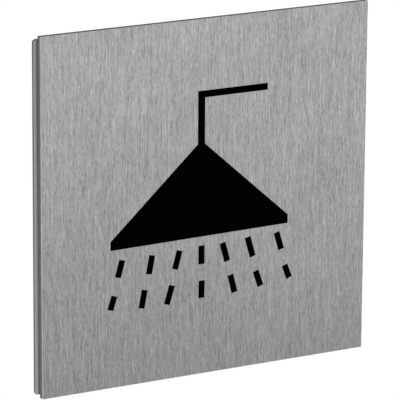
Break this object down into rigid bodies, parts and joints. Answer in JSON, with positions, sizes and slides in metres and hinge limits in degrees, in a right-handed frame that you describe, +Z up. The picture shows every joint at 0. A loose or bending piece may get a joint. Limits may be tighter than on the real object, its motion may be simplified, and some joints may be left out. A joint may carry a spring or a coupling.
{
  "type": "shower pictogram door sign",
  "caption": "Square brushed steel door sign with an etched, black-filled shower pictogram, on a foam mounting pad.",
  "frame": {"origin": "on the face that sticks to the door, behind the middle of the front plate", "axes": "+X to the right as the sign is read, +Z up, +Y into the door; the pictogram faces -Y"},
  "size_m": [0.1522, 0.003, 0.15],
  "materials": {
    "brushed_steel": "upright brushed grain, satin",
    "black_enamel": "dull black enamel filled into the etching",
    "grey_foam": "smooth grey closed-cell foam with adhesive faces"
  },
  "bodies": {
    "root": {"front_plate": "brushed_steel", "shower_fill": "black_enamel", "spray_fill": "black_enamel", "mounting_pad": "grey_foam"}
  },
  "joints": []
}
